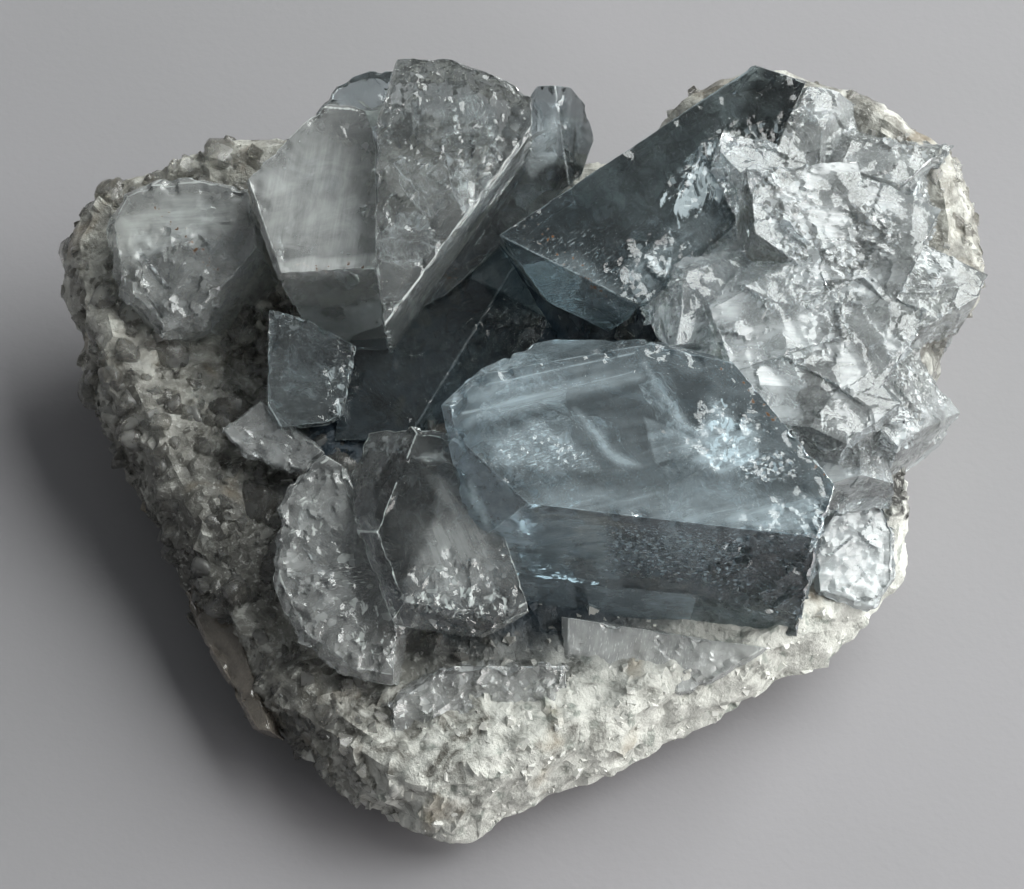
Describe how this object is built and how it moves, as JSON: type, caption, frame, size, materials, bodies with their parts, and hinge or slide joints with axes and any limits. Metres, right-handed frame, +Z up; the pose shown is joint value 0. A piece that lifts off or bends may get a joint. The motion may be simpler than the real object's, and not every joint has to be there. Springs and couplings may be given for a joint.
{
  "type": "celestite crystal cluster",
  "caption": "Natural hand specimen of pale to slate-blue celestite crystals that point into a dark pocket, grown on a granular crust with a flat underside to rest on.",
  "frame": {"origin": "under the middle of the specimen's bounding box, on the surface that it rests on", "axes": "+Z up; -Y is the low front of the crust, from which the picture looks; +X to the right in the picture"},
  "size_m": [0.0964, 0.0796, 0.0427],
  "materials": {
    "matrix": "matte",
    "pale_blue_crystal": "gloss",
    "slate_crystal": "gloss",
    "broken_crystal": "gloss",
    "clear_crystal": "gloss",
    "milky_crystal": "satin",
    "smoky_crystal": "gloss"
  },
  "bodies": {
    "root": {"matrix": "matrix", "main_crystal": "pale_blue_crystal", "dark_crystal": "slate_crystal", "pocket_crystal": "slate_crystal", "broken_crystal": "broken_crystal", "back_crystal": "clear_crystal", "milky_crystal": "milky_crystal", "left_crystal": "clear_crystal", "window_crystal": "pale_blue_crystal", "far_back_crystal": "clear_crystal", "far_left_crystal": "clear_crystal", "clear_crystal": "clear_crystal", "rounded_crystal": "clear_crystal", "right_crystal": "pale_blue_crystal", "smoky_crystal": "smoky_crystal", "wedge_crystal": "milky_crystal", "front_crystal": "milky_crystal", "pale_blade": "milky_crystal"}
  },
  "joints": []
}
